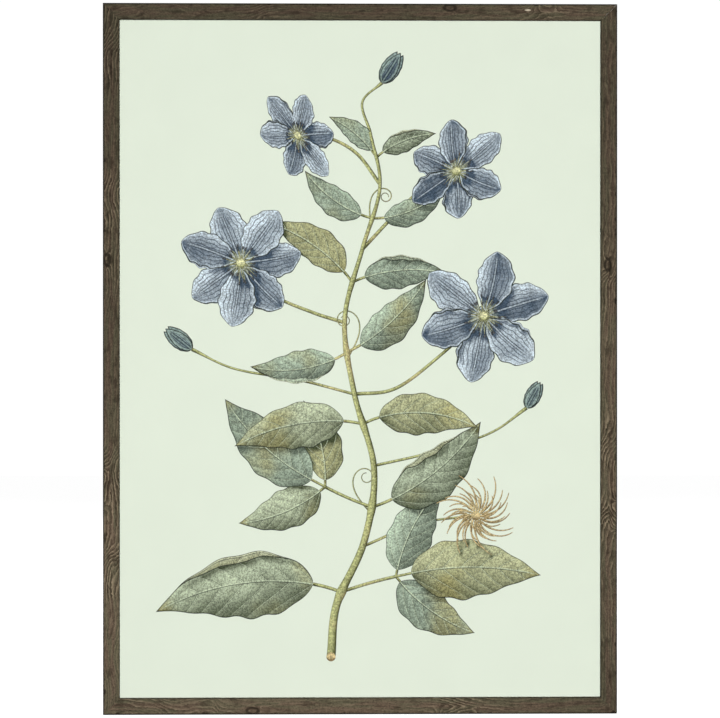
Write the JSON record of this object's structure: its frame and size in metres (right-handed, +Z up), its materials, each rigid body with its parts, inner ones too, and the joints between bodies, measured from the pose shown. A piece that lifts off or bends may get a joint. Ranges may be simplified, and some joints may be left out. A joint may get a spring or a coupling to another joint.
{
  "type": "framed botanical print",
  "caption": "Framed botanical print: a slim dark wooden frame holds glass, a paper print and its boards, shut in from behind by swivelling turn buttons and hung by a sawtooth hanger.",
  "frame": {"origin": "the middle notch of the upper sawtooth hanger, on the plane of the wall that the four bumpers touch", "axes": "+Z up when the frame hangs, +Y into the wall, so the picture faces -Y, and +X to the right of someone looking at the picture"},
  "size_m": [0.524, 0.0198, 0.724],
  "materials": {
    "frame_wood": "dark brown-grey stain, brushed, open grain, matt",
    "glass": "clear",
    "print_paper": "pale green uncoated paper, printed",
    "filler_card": "raw brown card",
    "fibreboard": "raw brown fibreboard",
    "zinc_steel": "bright zinc plate",
    "bumper_rubber": "clear soft pad"
  },
  "bodies": {
    "root": {"rail_top": "frame_wood", "rail_bottom": "frame_wood", "rail_left": "frame_wood", "rail_right": "frame_wood", "glazing": "glass", "print_sheet": "print_paper", "filler_board": "filler_card", "backing_board": "fibreboard", "screw_top_a": "zinc_steel", "screw_top_b": "zinc_steel", "screw_bottom_a": "zinc_steel", "screw_bottom_b": "zinc_steel", "screw_left_a": "zinc_steel", "screw_left_b": "zinc_steel", "screw_right_a": "zinc_steel", "screw_right_b": "zinc_steel", "hanger_top": "zinc_steel", "hanger_left": "zinc_steel", "hanger_nail_top_a": "zinc_steel", "hanger_nail_top_b": "zinc_steel", "hanger_nail_left_a": "zinc_steel", "hanger_nail_left_b": "zinc_steel", "mitre_nail_top_left": "zinc_steel", "mitre_nail_top_right": "zinc_steel", "mitre_nail_bottom_left": "zinc_steel", "mitre_nail_bottom_right": "zinc_steel", "bumper_top_a": "bumper_rubber", "bumper_top_b": "bumper_rubber", "bumper_bottom_a": "bumper_rubber", "bumper_bottom_b": "bumper_rubber"},
    "button_top_a": {"turn_button_top_a": "zinc_steel"},
    "button_top_b": {"turn_button_top_b": "zinc_steel"},
    "button_bottom_a": {"turn_button_bottom_a": "zinc_steel"},
    "button_bottom_b": {"turn_button_bottom_b": "zinc_steel"},
    "button_left_a": {"turn_button_left_a": "zinc_steel"},
    "button_left_b": {"turn_button_left_b": "zinc_steel"},
    "button_right_a": {"turn_button_right_a": "zinc_steel"},
    "button_right_b": {"turn_button_right_b": "zinc_steel"}
  },
  "joints": [
    {"name": "swivel_top_a", "type": "hinge", "parent": "root", "child": "button_top_a", "pos_m": [0.14, -0.0035, 0.00325], "axis": [0, 1, 0], "continuous": true},
    {"name": "swivel_top_b", "type": "hinge", "parent": "root", "child": "button_top_b", "pos_m": [-0.14, -0.0035, 0.00325], "axis": [0, 1, 0], "continuous": true},
    {"name": "swivel_bottom_a", "type": "hinge", "parent": "root", "child": "button_bottom_a", "pos_m": [-0.14, -0.0035, -0.71035], "axis": [0, 1, 0], "continuous": true},
    {"name": "swivel_bottom_b", "type": "hinge", "parent": "root", "child": "button_bottom_b", "pos_m": [0.14, -0.0035, -0.71035], "axis": [0, 1, 0], "continuous": true},
    {"name": "swivel_left_a", "type": "hinge", "parent": "root", "child": "button_left_a", "pos_m": [-0.2568, -0.0035, -0.13855], "axis": [0, 1, 0], "continuous": true},
    {"name": "swivel_left_b", "type": "hinge", "parent": "root", "child": "button_left_b", "pos_m": [-0.2568, -0.0035, -0.56855], "axis": [0, 1, 0], "continuous": true},
    {"name": "swivel_right_a", "type": "hinge", "parent": "root", "child": "button_right_a", "pos_m": [0.2568, -0.0035, -0.56855], "axis": [0, 1, 0], "continuous": true},
    {"name": "swivel_right_b", "type": "hinge", "parent": "root", "child": "button_right_b", "pos_m": [0.2568, -0.0035, -0.13855], "axis": [0, 1, 0], "continuous": true}
  ]
}
